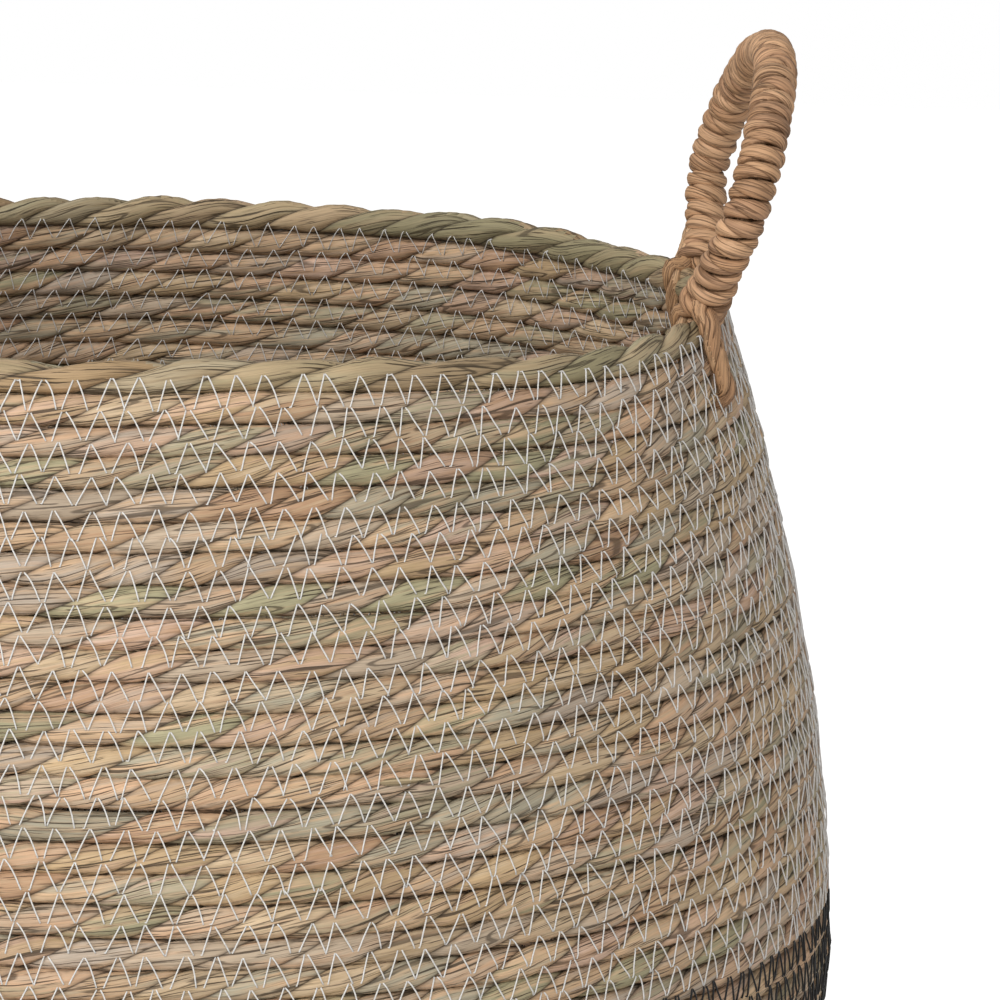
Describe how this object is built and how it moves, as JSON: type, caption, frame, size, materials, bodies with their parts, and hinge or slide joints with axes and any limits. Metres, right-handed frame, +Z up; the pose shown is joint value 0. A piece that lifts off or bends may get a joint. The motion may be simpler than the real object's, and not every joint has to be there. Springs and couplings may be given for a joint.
{
  "type": "belly basket",
  "caption": "Round belly basket of coil-sewn seagrass rope with an open mouth and two twine-wrapped rope handles that swing on the rim.",
  "frame": {"origin": "on the floor, at the middle of the base's underside", "axes": "+Z up through the mouth; the handles stand on the rim at +X and -X, and +Y is the back"},
  "size_m": [0.438, 0.438, 0.4611],
  "materials": {
    "rim_seagrass": "dry twisted seagrass rope, satin",
    "natural_seagrass": "dry twisted seagrass rope with pale sewing thread",
    "dark_sewn_seagrass": "dry twisted seagrass rope with dense black sewing thread",
    "handle_rope": "twisted paper rope, matte",
    "paper_twine": "twisted kraft paper twine, matte"
  },
  "bodies": {
    "root": {"rim_coil": "rim_seagrass", "upper_wall_coil": "natural_seagrass", "lower_wall_coil": "dark_sewn_seagrass", "base_coil": "dark_sewn_seagrass", "anchor_strand_front_right": "handle_rope", "anchor_strand_back_right": "handle_rope", "anchor_strand_front_left": "handle_rope", "anchor_strand_back_left": "handle_rope"},
    "handle_right": {"handle_rope_right": "handle_rope", "twine_wrap_right": "paper_twine"},
    "handle_left": {"handle_rope_left": "handle_rope", "twine_wrap_left": "paper_twine"}
  },
  "joints": [
    {"name": "handle_right_swing", "type": "hinge", "parent": "root", "child": "handle_right", "pos_m": [0.17117, 0, 0.38364], "axis": [0, 1, 0], "range_deg": [-45, 30]},
    {"name": "handle_left_swing", "type": "hinge", "parent": "root", "child": "handle_left", "pos_m": [-0.17117, 0, 0.38364], "axis": [0, -1, 0], "range_deg": [-45, 30]}
  ]
}
